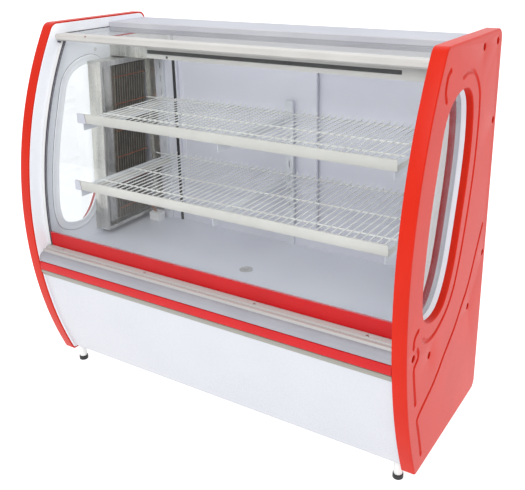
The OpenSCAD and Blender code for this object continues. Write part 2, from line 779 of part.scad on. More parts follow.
module leg_tubes() {
    color("white") for (p = foot_places) translate([p[0], p[1], 0]) difference() {
        translate([0, 0, foot_h + gap]) cylinder(d = leg_d, h = base_bottom - foot_h - gap);
        translate([0, 0, foot_h - 1]) cylinder(d = stem_d + bore_slack, h = 200);
    }
}
module foot(p) {
    color("black") translate([p[0], p[1], 0]) {
        cylinder(d1 = foot_d, d2 = foot_d, h = foot_h - 4);
        translate([0, 0, foot_h - 4]) cylinder(d1 = foot_d, d2 = foot_d - 12, h = 4);
        translate([0, 0, foot_h - 1]) cylinder(d = stem_d, h = stem_top - foot_h + 1);
    }
}
module front_left_foot() {
    foot(foot_places[0]);
}
module front_right_foot() {
    foot(foot_places[1]);
}
module rear_left_foot() {
    foot(foot_places[2]);
}
module rear_right_foot() {
    foot(foot_places[3]);
}

// ---- Nodes --------------------------------------------------------------------

outer_shell(-1);  // left_outer_shell
outer_shell(1);  // right_outer_shell
foam_core(-1);  // left_foam_core
foam_core(1);  // right_foam_core
liner(-1);  // left_liner
liner(1);  // right_liner
window_glass(-1);  // left_window_glass
window_glass(1);  // right_window_glass
window_ring(-1);  // left_window_ring
window_ring(1);  // right_window_ring
panel_screws();
front_glass();
glass_edge_trims();
glass_edge_gaskets();
front_top_bar();
top_bar_end_gaskets();
top_glass();
rear_top_rail();
top_deck();
lamp_housing();
lamp_tube();
bumper_profile();
bumper_strip();
bumper_screws();
front_apron();
insulated_tub();
floor_deck();
drain_strainer();
rear_fixed_panel();
door_frame();
door_jamb_seals();
left_door();
right_door();
left_door_pull();
right_door_pull();
shelf_uprights();
shelf_brackets();
upper_shelf();
lower_shelf();
evaporator_cover();
evaporator_coil();
evaporator_plenum();
evaporator_fan();
evaporator_motor();
junction_box();
evaporator_lead();
base_frame();
compressor();
condenser_coil();
condenser_shroud();
condenser_fan();
rear_grille();
thermostat_knob();
light_switch();
cable_inlet();
leg_tubes();
front_left_foot();
front_right_foot();
rear_left_foot();
rear_right_foot();
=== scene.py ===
import json
import math
from itertools import product

import bmesh
import bpy
from mathutils import Matrix, Vector
from mathutils.geometry import delaunay_2d_cdt

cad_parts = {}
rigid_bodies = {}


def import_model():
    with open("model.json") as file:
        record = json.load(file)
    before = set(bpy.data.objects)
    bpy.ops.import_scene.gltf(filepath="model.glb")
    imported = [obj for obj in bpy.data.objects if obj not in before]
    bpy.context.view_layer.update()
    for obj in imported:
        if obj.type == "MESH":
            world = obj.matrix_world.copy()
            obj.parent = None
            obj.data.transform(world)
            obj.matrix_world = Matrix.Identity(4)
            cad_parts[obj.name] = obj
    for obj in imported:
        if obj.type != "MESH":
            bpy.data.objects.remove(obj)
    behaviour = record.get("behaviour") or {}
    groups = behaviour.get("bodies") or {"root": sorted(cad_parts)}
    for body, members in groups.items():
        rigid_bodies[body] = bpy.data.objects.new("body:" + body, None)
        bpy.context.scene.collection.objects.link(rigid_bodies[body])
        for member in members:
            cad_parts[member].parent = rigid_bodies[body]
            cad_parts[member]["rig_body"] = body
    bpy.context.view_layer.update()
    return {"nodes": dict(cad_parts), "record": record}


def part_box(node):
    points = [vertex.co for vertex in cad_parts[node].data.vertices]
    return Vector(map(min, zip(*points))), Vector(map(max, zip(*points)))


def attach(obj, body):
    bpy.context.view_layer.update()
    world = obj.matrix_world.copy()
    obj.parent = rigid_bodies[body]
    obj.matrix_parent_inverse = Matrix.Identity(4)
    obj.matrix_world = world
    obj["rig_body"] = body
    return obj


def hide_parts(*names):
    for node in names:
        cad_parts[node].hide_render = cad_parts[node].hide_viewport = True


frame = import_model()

# Refrigerated bakery display case. Shapes are worked out in millimetres, in the frame's axes:
# +X along the case, -Y to the customer, +Z up. add_piece() turns them into metres.

MM = 0.001

# ---- Places taken from the frame ----------------------------------------------


def box_mm(node):
    low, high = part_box(node)
    return low / MM, high / MM


shell_low, shell_high = box_mm("right_outer_shell")
RIM_X, Y_FRONT, PANEL_BOTTOM = shell_low
X_OUT, Y_REAR, CASE_H = shell_high
X_IN = box_mm("right_liner")[0].x
COLLAR_X = box_mm("right_liner")[1].x
SLOT_OF = {part["node"]: part["material_slot"] for part in frame["record"]["subparts"]}

WAIST_Z = 590          # height of the deepest point of the front bulge
UPPER_R = 1230         # radius of the front outline above the waist
LOWER_R = 1350         # and below it
SHELL_WALL = 5
LINER_T = 5
X_SHELL = X_IN + LINER_T
RING_W = 28
GLASS_INSET = 58
GLASS_T = 6

# ---- Outlines, as lists of (y, z) ---------------------------------------------


def front_y(z, inset=0.0):
    r = UPPER_R if z > WAIST_Z else LOWER_R
    return Y_FRONT + r - math.sqrt((r - inset) ** 2 - (z - WAIST_Z) ** 2)


def front_curve(z0, z1, inset=0.0, n=28):
    heights = [z0 + (z1 - z0) * i / n for i in range(n + 1)]
    return [Vector((front_y(z, inset), z)) for z in heights]


def corner(a, b, c, r, n=8):
    """Points of a round of radius r at corner b, between the directions to a and c."""
    u = (a - b).normalized()
    v = (c - b).normalized()
    half = math.acos(u.dot(v)) / 2
    middle = b + (u + v).normalized() * r / math.sin(half)
    start = b + u * r / math.tan(half) - middle
    end = b + v * r / math.tan(half) - middle
    a0 = math.atan2(start.y, start.x)
    turn = (math.atan2(end.y, end.x) - a0 + math.pi) % (2 * math.pi) - math.pi
    angles = [a0 + turn * i / n for i in range(n + 1)]
    return [middle + r * Vector((math.cos(t), math.sin(t))) for t in angles]


def panel_outline(e=0.0):
    """Side outline of an end panel, shrunk by e."""
    top = CASE_H - e
    low = PANEL_BOTTOM + e
    back = Y_REAR - e
    top_front = Vector((front_y(top, e), top))
    low_front = Vector((front_y(low, e), low))
    above = Vector((front_y(low + 40, e), low + 40))
    below = Vector((front_y(top - 40, e), top - 40))
    top_rear = Vector((back, top))
    low_rear = Vector((back, low))
    return (
        corner(low_rear, low_front, above, 12)
        + front_curve(low + 14, WAIST_Z, e, 20)
        + front_curve(WAIST_Z, top - 22, e, 26)[1:]
        + corner(below, top_front, top_rear, 30)
        + corner(top_front, top_rear, low_rear, 28)
        + corner(top_rear, low_rear, low_front, 25)
    )


def catmull(a, b, c, d, t):
    return 0.5 * (
        2 * b
        + (c - a) * t
        + (2 * a - 5 * b + 4 * c - d) * t * t
        + (3 * b - a - 3 * c + d) * t ** 3
    )


def closed_spline(knots, n):
    count = len(knots)
    return [
        catmull(knots[i - 1], knots[i], knots[(i + 1) % count], knots[(i + 2) % count], j / n)
        for i in range(count)
        for j in range(n)
    ]


def open_spline(knots, step):
    """Smooth path through the knots, with a point about every step."""
    ends = [2 * knots[0] - knots[1]] + knots + [2 * knots[-1] - knots[-2]]
    path = []
    for i in range(1, len(ends) - 2):
        n = max(2, round((ends[i + 1] - ends[i]).length / step))
        path += [catmull(*ends[i - 1 : i + 3], j / n) for j in range(n)]
    return path + [knots[-1]]


def normals(path, closed):
    """Unit normal at each point of a path, to the right of its direction."""
    n = len(path)
    result = []
    for i in range(n):
        before = path[i - 1] if closed or i > 0 else path[i]
        after = path[(i + 1) % n] if closed or i < n - 1 else path[i]
        along = (after - before).normalized()
        result.append(Vector((along.y, -along.x)))
    return result


def grown(loop, d):
    """A closed anticlockwise loop moved outward by d."""
    return [p + d * n for p, n in zip(loop, normals(loop, True))]


def round_path(path, r, n=6):
    """Closed outline at distance r round an open path."""
    side = normals(path, False)
    right = [p + r * s for p, s in zip(path, side)]
    left = [p - r * s for p, s in zip(path, side)]

    def cap(centre, direction):
        a0 = math.atan2(direction.y, direction.x)
        return [
            centre + r * Vector((math.cos(a0 + math.pi * i / n), math.sin(a0 + math.pi * i / n)))
            for i in range(1, n)
        ]

    return right + cap(path[-1], side[-1]) + left[::-1] + cap(path[0], -side[0])


def circle(centre, r, n=24):
    angles = [2 * math.pi * i / n for i in range(n)]
    return [Vector((centre[0] + r * math.cos(a), centre[1] + r * math.sin(a))) for a in angles]


WINDOW_KNOTS = [
    (27, 525), (-60, 511), (-119, 462), (-153, 370), (-190, 240), (-213, 110), (-219, 10),
    (-196, -56), (-125, -84), (-52, -68), (10, 15), (58, 170), (88, 300), (97, 400), (82, 486),
]
WINDOW = closed_spline([Vector((y, z + WAIST_Z)) for y, z in WINDOW_KNOTS], 8)
PANEL_SCREWS = [
    (153, 1205), (277, 1207), (290, 975), (292, 549), (177, 411), (-148, 408), (-267, 459),
]

# ---- Mesh helpers -------------------------------------------------------------


def ring(bm, loop, x):
    return [bm.verts.new((x, p[0], p[1])) for p in loop]


def bridge(bm, a, b, closed=True):
    n = len(a)
    for i in range(n if closed else n - 1):
        j = (i + 1) % n
        bm.faces.new((a[i], a[j], b[j], b[i]))


def bridge_all(bm, rings, closed=True):
    for a, b in zip(rings, rings[1:]):
        bridge(bm, a, b, closed)


def inside(p, loop):
    hit = False
    for a, b in zip(loop, loop[1:] + loop[:1]):
        if (a.y > p.y) != (b.y > p.y):
            if p.x < a.x + (p.y - a.y) / (b.y - a.y) * (b.x - a.x):
                hit = not hit
    return hit


def fill_face(bm, outline, holes, contours, x_at):
    """Triangles inside the outline and outside the holes, at x_at(point).

    contours are more (points, closed) lines that the triangles follow. Returns the vertex rings
    of the outline and of each hole.
    """
    points = []
    edges = []
    firsts = []
    for loop, closed in [(outline, True)] + [(hole, True) for hole in holes] + contours:
        first = len(points)
        firsts.append(first)
        points += [Vector(p) for p in loop]
        n = len(loop)
        edges += [(first + i, first + (i + 1) % n) for i in range(n if closed else n - 1)]
    out, _, triangles, origins, _, _ = delaunay_2d_cdt(points, edges, [], 0, 1e-3, True)
    verts = [bm.verts.new((x_at(p), p.x, p.y)) for p in out]
    made_from = {source: i for i, sources in enumerate(origins) for source in sources}
    for triangle in triangles:
        middle = sum((out[i] for i in triangle), Vector((0, 0))) / 3
        if inside(middle, outline) and not any(inside(middle, hole) for hole in holes):
            bm.faces.new([verts[i] for i in triangle])
    loops = [outline] + holes
    return [[verts[made_from[f + i]] for i in range(len(loop))] for f, loop in zip(firsts, loops)]


def close_ends(bm, rings):
    """Joins the rings into a skin and puts a face on the first and the last."""
    bridge_all(bm, rings)
    bm.faces.new(rings[0])
    bm.faces.new(rings[-1])


def add_prism(bm, loop, x0, x1):
    close_ends(bm, [ring(bm, loop, x) for x in (x0, x1)])


def add_slab(bm, low, high):
    v = [bm.verts.new(c) for c in product(*zip(low, high))]
    faces = ((0, 1, 3, 2), (4, 6, 7, 5), (0, 4, 5, 1), (2, 3, 7, 6), (0, 2, 6, 4), (1, 5, 7, 3))
    for face in faces:
        bm.faces.new([v[i] for i in face])


def round_ring(bm, centre, r, u, v, sides):
    """A ring of vertices at distance r from the centre, in the plane of u and v."""
    angles = [2 * math.pi * k / sides for k in range(sides)]
    return [bm.verts.new(centre + r * (u * math.cos(a) + v * math.sin(a))) for a in angles]


def add_tube(bm, path, radius, sides=10):
    """A round bar along a path of 3D points, with closed ends."""
    path = [Vector(p) for p in path]
    across = (path[1] - path[0]).orthogonal().normalized()
    rings = []
    for i, p in enumerate(path):
        along = (path[min(i + 1, len(path) - 1)] - path[max(i - 1, 0)]).normalized()
        across = (across - along * across.dot(along)).normalized()
        rings.append(round_ring(bm, p, radius, across, along.cross(across), sides))
    close_ends(bm, rings)


def bent(points, r, n=6):
    """The path through the points, turned at each corner round the centre of its round of radius r.

    slerp() gives unit vectors, so the turn has a radius of 1 mm and lies well inside the round.
    Multiplied by r, it would be the round itself. This is an open fault.
    """
    points = [Vector(p) for p in points]
    path = [points[0]]
    for a, b, c in zip(points, points[1:], points[2:]):
        u = (a - b).normalized()
        v = (c - b).normalized()
        half = u.angle(v) / 2
        middle = b + (u + v).normalized() * r / math.sin(half)
        start = b + u * r / math.tan(half) - middle
        end = b + v * r / math.tan(half) - middle
        path += [middle + start.slerp(end, i / n) for i in range(n + 1)]
    return path + [points[-1]]


def add_lathe(bm, profile, base, axis, sides=32):
    """Turns a profile of (radius, height) round an axis through base. Radius 0 makes a point."""
    axis = Vector(axis).normalized()
    u = axis.orthogonal().normalized()
    v = axis.cross(u)
    base = Vector(base)
    rings = []
    for r, h in profile:
        centre = base + axis * h
        if r == 0:
            rings.append([bm.verts.new(centre)])
            continue
        rings.append(round_ring(bm, centre, r, u, v, sides))
    for a, b in zip(rings, rings[1:]):
        if len(a) == 1:
            a = a * sides
        if len(b) == 1:
            b = b * sides
        for i in range(sides):
            j = (i + 1) % sides
            bm.faces.new(list(dict.fromkeys((a[i], a[j], b[j], b[i]))))


def add_screw(bm, place, axis, r, height, shank):
    """Pan head with a cross recess, on a plain shank. place is the middle of the head's top."""
    axis = Vector(axis).normalized()
    u = axis.orthogonal().normalized()
    v = axis.cross(u)
    place = Vector(place)
    sides = 24
    cross_r = 0.5 * r
    rows = [(0.14 * r, 0), (cross_r, 0), (cross_r + 0.1, 0), (0.82 * r, 0.22 * height)]
    rows += [(r, 0.7 * height), (r, height), (0.45 * r, height), (0.45 * r, height + shank)]
    rings = []
    for row, (radius, down) in enumerate(rows):
        verts = []
        for k in range(sides):
            a = 2 * math.pi * k / sides
            in_cross = row < 2 and min(k % 6, 6 - k % 6) <= 1
            drop = down + (0.6 * height if in_cross or row == 0 else 0)
            out = radius * (u * math.cos(a) + v * math.sin(a))
            verts.append(bm.verts.new(place + out - axis * drop))
        rings.append(verts)
    close_ends(bm, rings)


def add_piece(name, bm, body, slot, look=None, stands_for=(), edge=0.0, angle=35, scale=MM):
    """Makes the mesh a piece that rides on body, with its edges rounded by edge millimetres."""
    bmesh.ops.recalc_face_normals(bm, faces=bm.faces)
    bmesh.ops.scale(bm, vec=(scale, scale, scale), verts=bm.verts)
    mesh = bpy.data.meshes.new(name)
    bm.to_mesh(mesh)
    bm.free()
    mesh.materials.append(LOOKS[look or slot])
    mesh.shade_smooth()
    mesh.set_sharp_from_angle(angle=math.radians(angle))
    piece = bpy.data.objects.new(name, mesh)
    bpy.context.scene.collection.objects.link(piece)
    if edge:
        bevel = piece.modifiers.new("edge", "BEVEL")
        bevel.width = edge * MM
        bevel.segments = 2
        bevel.limit_method = "ANGLE"
        bevel.angle_limit = math.radians(angle)
        bevel.harden_normals = True
    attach(piece, body)
    if stands_for:
        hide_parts(*stands_for)
    return piece


def body_of(node):
    return frame["nodes"][node]["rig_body"]


def stand_in(name, bm, node, look=None, **shape):
    """A piece that replaces one CAD node and has its body and its slot."""
    return add_piece(name, bm, body_of(node), SLOT_OF[node], look, [node], **shape)


def softened(node, edge=0.6, look=None, angle=30):
    """Stands for a CAD node: the same shape with its edges broken."""
    bm = bmesh.new()
    bm.from_mesh(frame["nodes"][node].data)
    bmesh.ops.remove_doubles(bm, verts=bm.verts, dist=1e-5)
    bmesh.ops.dissolve_limit(bm, angle_limit=math.radians(0.6), verts=bm.verts, edges=bm.edges)
    stand_in(node + "_finished", bm, node, look, edge=edge, angle=angle, scale=1.0)


# ---- Materials ----------------------------------------------------------------


def linear(red, green, blue):
    """An 8-bit display colour as a linear one."""
    parts = [c / 255 for c in (red, green, blue)]
    return tuple(c / 12.92 if c < 0.04045 else ((c + 0.055) / 1.055) ** 2.4 for c in parts) + (1.0,)


def set_range(node, start, end, low, high):
    ends = {"From Min": start, "From Max": end, "To Min": low, "To Max": high}
    for key, value in ends.items():
        node.inputs[key].default_value = value


class Tree:
    """A material's nodes, with short ways to add and join them."""

    def __init__(self, name):
        self.material = bpy.data.materials.new(name)
        self.material.use_nodes = True
        self.nodes = self.material.node_tree.nodes
        self.nodes.clear()
        self.output = self.nodes.new("ShaderNodeOutputMaterial")
        self.place = self.nodes.new("ShaderNodeTexCoord").outputs["Object"]

    def add(self, kind, **settings):
        node = self.nodes.new("ShaderNode" + kind)
        for key, value in settings.items():
            setattr(node, key, value)
        return node

    def join(self, source, target):
        self.material.node_tree.links.new(source, target)

    def noise(self, scale, stretch=(1, 1, 1), detail=3.0):
        mapping = self.add("Mapping")
        mapping.inputs["Scale"].default_value = stretch
        noise = self.add("TexNoise")
        noise.inputs["Scale"].default_value = scale
        noise.inputs["Detail"].default_value = detail
        self.join(self.place, mapping.inputs["Vector"])
        self.join(mapping.outputs[0], noise.inputs["Vector"])
        return noise.outputs[0]

    def height(self):
        parts = self.add("SeparateXYZ")
        self.join(self.place, parts.inputs[0])
        return parts.outputs["Z"]

    def spread(self, source, low, high, start=0.3, end=0.7):
        """low to high, as the source goes from start to end."""
        node = self.add("MapRange")
        set_range(node, start, end, low, high)
        self.join(source, node.inputs["Value"])
        return node.outputs[0]

    def blend(self, factor, a, b):
        node = self.add("Mix", data_type="RGBA")
        node.inputs["A"].default_value = a
        node.inputs["B"].default_value = b
        self.join(factor, node.inputs["Factor"])
        return node.outputs["Result"]

    def mixed(self, share, a, b):
        """The finished material, of shader a and a share of shader b."""
        mix = self.add("MixShader")
        self.join(share, mix.inputs[0])
        self.join(a.outputs[0], mix.inputs[1])
        self.join(b.outputs[0], mix.inputs[2])
        return self.finished(mix)

    def finished(self, shader):
        self.join(shader.outputs[0], self.output.inputs[0])
        return self.material

    def bump(self, height, distance, below=None):
        node = self.add("Bump")
        node.inputs["Strength"].default_value = 1.0
        node.inputs["Distance"].default_value = distance * MM
        self.join(height, node.inputs["Height"])
        if below:
            self.join(below, node.inputs["Normal"])
        return node.outputs[0]


def finish_look(
    name, colour, shade, rough, rough_spread, patch, grain, depth,
    stretch=(1, 1, 1), metal=0.0, spec=0.5, coat=0.0,
    wave=0.0, wave_scale=12, patch_stretch=(1, 1, 1),
):
    """Colour drifting to shade in soft patches, with fine grain in its roughness and relief."""
    tree = Tree(name)
    shader = tree.add("BsdfPrincipled")
    patches = tree.noise(patch, patch_stretch, 4.0)
    grains = tree.noise(grain, stretch, 2.0)
    tint = tree.blend(tree.spread(patches, 0, 1), linear(*colour), linear(*shade))
    tree.join(tint, shader.inputs["Base Color"])
    roughness = tree.spread(grains, rough - rough_spread, rough + rough_spread)
    tree.join(roughness, shader.inputs["Roughness"])
    relief = tree.bump(grains, depth)
    if wave:
        relief = tree.bump(tree.noise(wave_scale, detail=1.0), wave, below=relief)
    tree.join(relief, shader.inputs["Normal"])
    shader.inputs["Metallic"].default_value = metal
    shader.inputs["Specular IOR Level"].default_value = spec
    shader.inputs["Coat Weight"].default_value = coat
    shader.inputs["Coat Roughness"].default_value = 0.12
    return tree.finished(shader)


def glass_look(name, tint, mirror, power=4.0, slant=None):
    """Thin clear pane with a mirror that grows as it is seen at a slant.

    tint is its colour from the front, and slant its colour from the side.
    """
    tree = Tree(name)
    clear = tree.add("BsdfTransparent")
    clear.inputs["Color"].default_value = linear(*tint)
    facing = tree.add("LayerWeight").outputs["Facing"]
    if slant:
        through = tree.blend(tree.spread(facing, 0, 1, 0.4, 0.72), linear(*tint), linear(*slant))
        tree.join(through, clear.inputs["Color"])
    gloss = tree.add("BsdfAnisotropic")
    tree.join(tree.spread(tree.noise(6), 0.004, 0.016), gloss.inputs["Roughness"])
    curve = tree.add("Math", operation="POWER")
    curve.inputs[1].default_value = power
    tree.join(facing, curve.inputs[0])
    share = tree.spread(curve.outputs[0], mirror, 0.85, 0, 1)
    not_shadow = tree.add("Math", operation="SUBTRACT")
    not_shadow.inputs[0].default_value = 1.0
    tree.join(tree.add("LightPath").outputs["Is Shadow Ray"], not_shadow.inputs[1])
    factor = tree.add("Math", operation="MULTIPLY")
    tree.join(share, factor.inputs[0])
    tree.join(not_shadow.outputs[0], factor.inputs[1])
    return tree.mixed(factor.outputs[0], clear, gloss)


def printed_band_look(name, top, fade):
    """Red enamel on the glass that fades out over its last few millimetres."""
    tree = Tree(name)
    paint = tree.add("BsdfPrincipled")
    colour = tree.blend(tree.spread(tree.noise(9), 0, 1), linear(198, 14, 20), linear(190, 11, 18))
    tree.join(colour, paint.inputs["Base Color"])
    tree.join(tree.spread(tree.noise(500), 0.3, 0.45), paint.inputs["Roughness"])
    paint.inputs["Specular IOR Level"].default_value = 0.25
    clear = tree.add("BsdfTransparent")
    height = tree.height()
    share = tree.spread(height, 0.06, 1.0, (top - fade) * MM, top * MM)
    return tree.mixed(share, paint, clear)


def bumper_look():
    """Satin profile: a lavender-grey nose, with painted light on its upper lip and painted shade,
    olive, on its lower lip.
    """
    tree = Tree("bumper")
    shader = tree.add("BsdfPrincipled")
    height = tree.height()
    patches = tree.spread(tree.noise(6), 0, 1)
    colour = tree.blend(patches, linear(162, 162, 169), linear(153, 153, 161))
    # Painted light, lighter above 478 mm on the upper lip; painted shade, darker and olive, below
    # 441 mm on the lower lip
    for z0, z1, shade in ((0.4775, 0.4785, (184, 182, 180)), (0.4415, 0.4405, (151, 149, 140))):
        mix = tree.add("Mix", data_type="RGBA")
        tree.join(colour, mix.inputs["A"])
        mix.inputs["B"].default_value = linear(*shade)
        tree.join(tree.spread(height, 0, 1, z0, z1), mix.inputs["Factor"])
        colour = mix.outputs["Result"]
    tree.join(colour, shader.inputs["Base Color"])
    grains = tree.noise(1400, BRUSHED_X, 2.0)
    tree.join(tree.spread(grains, 0.34, 0.44), shader.inputs["Roughness"])
    tree.join(tree.bump(grains, 0.02), shader.inputs["Normal"])
    shader.inputs["Metallic"].default_value = 0.1
    shader.inputs["Specular IOR Level"].default_value = 0.3
    return tree.finished(shader)


BRUSHED_X = (0.02, 1, 1)
BRUSHED_Z = (1, 1, 0.02)
# Colour, shade, roughness and its spread, patches and grains to the metre, relief in millimetres
FINISHES = {
    "red_shell": ((207, 38, 16), (200, 33, 12), 0.34, 0.07, 7, 420, 0.1),
    "foam": ((222, 200, 130), (200, 170, 100), 0.9, 0.05, 40, 900, 0.3),
    "white_liner": ((245, 247, 252), (238, 240, 248), 0.3, 0.05, 4, 600, 0.02),
    "off_white_trim": ((233, 231, 224), (222, 220, 212), 0.42, 0.06, 12, 900, 0.03),
    "zinc_screw": ((205, 205, 202), (170, 170, 168), 0.28, 0.1, 300, 2500, 0.03),
    "satin_aluminium": ((208, 206, 200), (196, 194, 190), 0.34, 0.06, 6, 1400, 0.02),
    "beige_aluminium": ((206, 202, 190), (194, 190, 178), 0.42, 0.06, 6, 1400, 0.02),
    "black_rubber": ((22, 21, 27), (15, 15, 20), 0.62, 0.1, 30, 1200, 0.08),
    "white_sheet": ((208, 210, 216), (203, 205, 212), 0.28, 0.04, 3, 800, 0.015),
    "grey_sheet": ((216, 218, 226), (208, 210, 220), 0.36, 0.06, 4, 900, 0.03),
    "lamp_white": ((250, 250, 246), (240, 240, 236), 0.3, 0.05, 20, 900, 0.01),
    "red_strip": ((202, 18, 24), (193, 15, 21), 0.34, 0.05, 10, 900, 0.02),
    "stainless": ((226, 224, 217), (172, 172, 168), 0.3, 0.08, 26, 1600, 0.03),
    "coil_fins": ((96, 86, 76), (70, 62, 54), 0.5, 0.1, 30, 1500, 0.05),
    "fin_edge": ((146, 138, 122), (120, 112, 98), 0.5, 0.1, 30, 1500, 0.05),
    "door_panel": ((224, 224, 233), (217, 217, 228), 0.4, 0.06, 3, 900, 0.02),
    "shelf_white": ((236, 236, 232), (226, 226, 222), 0.32, 0.05, 9, 900, 0.02),
    "cap_grey": ((206, 207, 217), (197, 198, 209), 0.35, 0.05, 30, 900, 0.02),
    "cap_seam": ((136, 84, 92), (104, 66, 74), 0.5, 0.05, 60, 900, 0.02),
    "bracket_white": ((222, 224, 230), (212, 214, 221), 0.32, 0.05, 9, 900, 0.02),
    "groove_dark": ((64, 62, 66), (48, 46, 50), 0.5, 0.08, 60, 900, 0.04),
    "red_plug": ((132, 16, 34), (112, 12, 28), 0.35, 0.05, 90, 900, 0.02),
    "shelf_lip": ((208, 206, 201), (198, 196, 191), 0.4, 0.05, 9, 900, 0.02),
    "bar_paint": ((193, 191, 188), (184, 182, 179), 0.36, 0.05, 7, 1100, 0.02),
    "deck_sheet": ((186, 188, 198), (178, 180, 191), 0.45, 0.05, 6, 1100, 0.02),
    "rail_paint": ((196, 196, 202), (186, 186, 193), 0.4, 0.05, 7, 1100, 0.02),
    "trim_grey": ((222, 222, 222), (212, 212, 212), 0.4, 0.05, 7, 1100, 0.02),
    "window_trim": ((248, 250, 254), (242, 244, 250), 0.42, 0.06, 12, 900, 0.03),
    "white_plastic": ((240, 240, 240), (230, 230, 230), 0.4, 0.05, 9, 900, 0.03),
    "brown_cable": ((146, 92, 58), (120, 72, 44), 0.5, 0.08, 60, 1500, 0.05),
    "galvanised": ((176, 178, 180), (150, 153, 156), 0.42, 0.1, 60, 900, 0.03),
    "black_enamel": ((30, 30, 32), (22, 22, 24), 0.25, 0.08, 20, 500, 0.06),
    "dark_plastic": ((38, 38, 40), (28, 28, 30), 0.45, 0.08, 30, 1300, 0.06),
    "copper": ((196, 120, 84), (150, 90, 62), 0.35, 0.1, 80, 1200, 0.03),
    # Grey of the painted shadow gap round the window trims
    "gap_shade_grey": ((150, 150, 158), (132, 132, 141), 0.5, 0.05, 30, 900, 0.02),
    "dark_gasket": ((58, 48, 62), (44, 38, 48), 0.5, 0.08, 30, 1200, 0.05),
    "glass_edge": ((112, 110, 124), (94, 92, 106), 0.2, 0.05, 30, 900, 0.02),
}
# What some of them have besides
EXTRAS = {
    "red_shell": {"spec": 0.15, "wave": 0.25, "wave_scale": 22},
    "white_liner": {"wave": 0.1, "wave_scale": 8},
    "zinc_screw": {"metal": 1},
    "satin_aluminium": {"stretch": BRUSHED_X, "metal": 1},
    "beige_aluminium": {"stretch": BRUSHED_Z, "metal": 0.6},
    "black_rubber": {"spec": 0.25},
    "white_sheet": {"wave": 0.15, "wave_scale": 4},
    "red_strip": {"spec": 0.3},
    "stainless": {"stretch": BRUSHED_Z, "metal": 0.85, "patch_stretch": (1, 1, 0.12)},
    "coil_fins": {"metal": 0.4},
    "bar_paint": {"coat": 0.1},
    "deck_sheet": {"spec": 0.2},
    "rail_paint": {"spec": 0.3},
    "galvanised": {"metal": 0.8},
    "black_enamel": {"coat": 0.4},
    "copper": {"metal": 0.9},
}
LOOKS = {
    name: finish_look(name, *finish, **EXTRAS.get(name, {})) for name, finish in FINISHES.items()
}
LOOKS["clear_glass"] = glass_look("clear_glass", (253, 254, 254), 0.03)
LOOKS["window_glass"] = glass_look(
    "window_glass", (251, 252, 253), 0.08, power=1.9, slant=(192, 195, 199)
)
LOOKS["bumper"] = bumper_look()

# ---- End panels ---------------------------------------------------------------

ROUND_R = 5            # radius of the rounded edge round the side face
WINDOW_EDGE_R = 3
GROOVE_R = 8
GROOVE_DEPTH = 4.6
GROOVE_FLOOR = 0.45    # the floor's share of the groove's half width
RECESS_R = 10.5
RECESS_EDGE = 1.2
RECESS_DEPTH = 10
BOSS_WALL = 2.5
SHANK_HOLE_R = 2.5
CIRCLE_SIDES = 32
LINER_PLUG = (46, 1131)
GROOVES = [
    # round the rear and the lower end of the window
    [(-8, 1148), (24, 1155), (67, 1153), (98, 1135), (120, 1114),
     (137, 1088), (144, 1060), (147, 1000), (137, 880), (106, 745), (75, 650), (49, 585),
     (22, 535), (-20, 495), (-73, 470), (-123, 459), (-174, 465), (-204, 483)],
    # from the rear edge down to the lower front and back up
    [(268, 651), (228, 588), (191, 527), (160, 483), (119, 446), (60, 393), (-21, 342), (-70, 308),
     (-112, 285), (-168, 264), (-208, 247), (-216, 232), (-202, 196), (-185, 145), (-169, 96)],
    # short one above the window
    [(-109, 1180), (-126, 1170), (-135, 1152), (-139, 1136), (-138, 1122), (-129, 1106)],
    # two short ones by the lower front screw
    [(-240, 528), (-256, 522), (-267, 508), (-268, 490)],
    [(-240, 473), (-231, 455), (-236, 440), (-251, 432), (-260, 420), (-254, 385), (-244, 340),
     (-234, 301)],
]


def groove_paths():
    return [open_spline([Vector(p) for p in knots], 9) for knots in GROOVES]


def distance_to(p, path):
    best = 1e9
    for a, b in zip(path, path[1:]):
        along = b - a
        t = max(0, min(1, (p - a).dot(along) / along.length_squared))
        best = min(best, (p - a - t * along).length)
    return best


def side_depth(p, paths):
    """How far the side face lies inside its flat plane at p."""
    d = min(distance_to(p, path) for path in paths) / GROOVE_R
    slope = max(0, min(1, (1 - d) / (1 - GROOVE_FLOOR)))
    return GROOVE_DEPTH * (0.5 - 0.5 * math.cos(math.pi * slope))


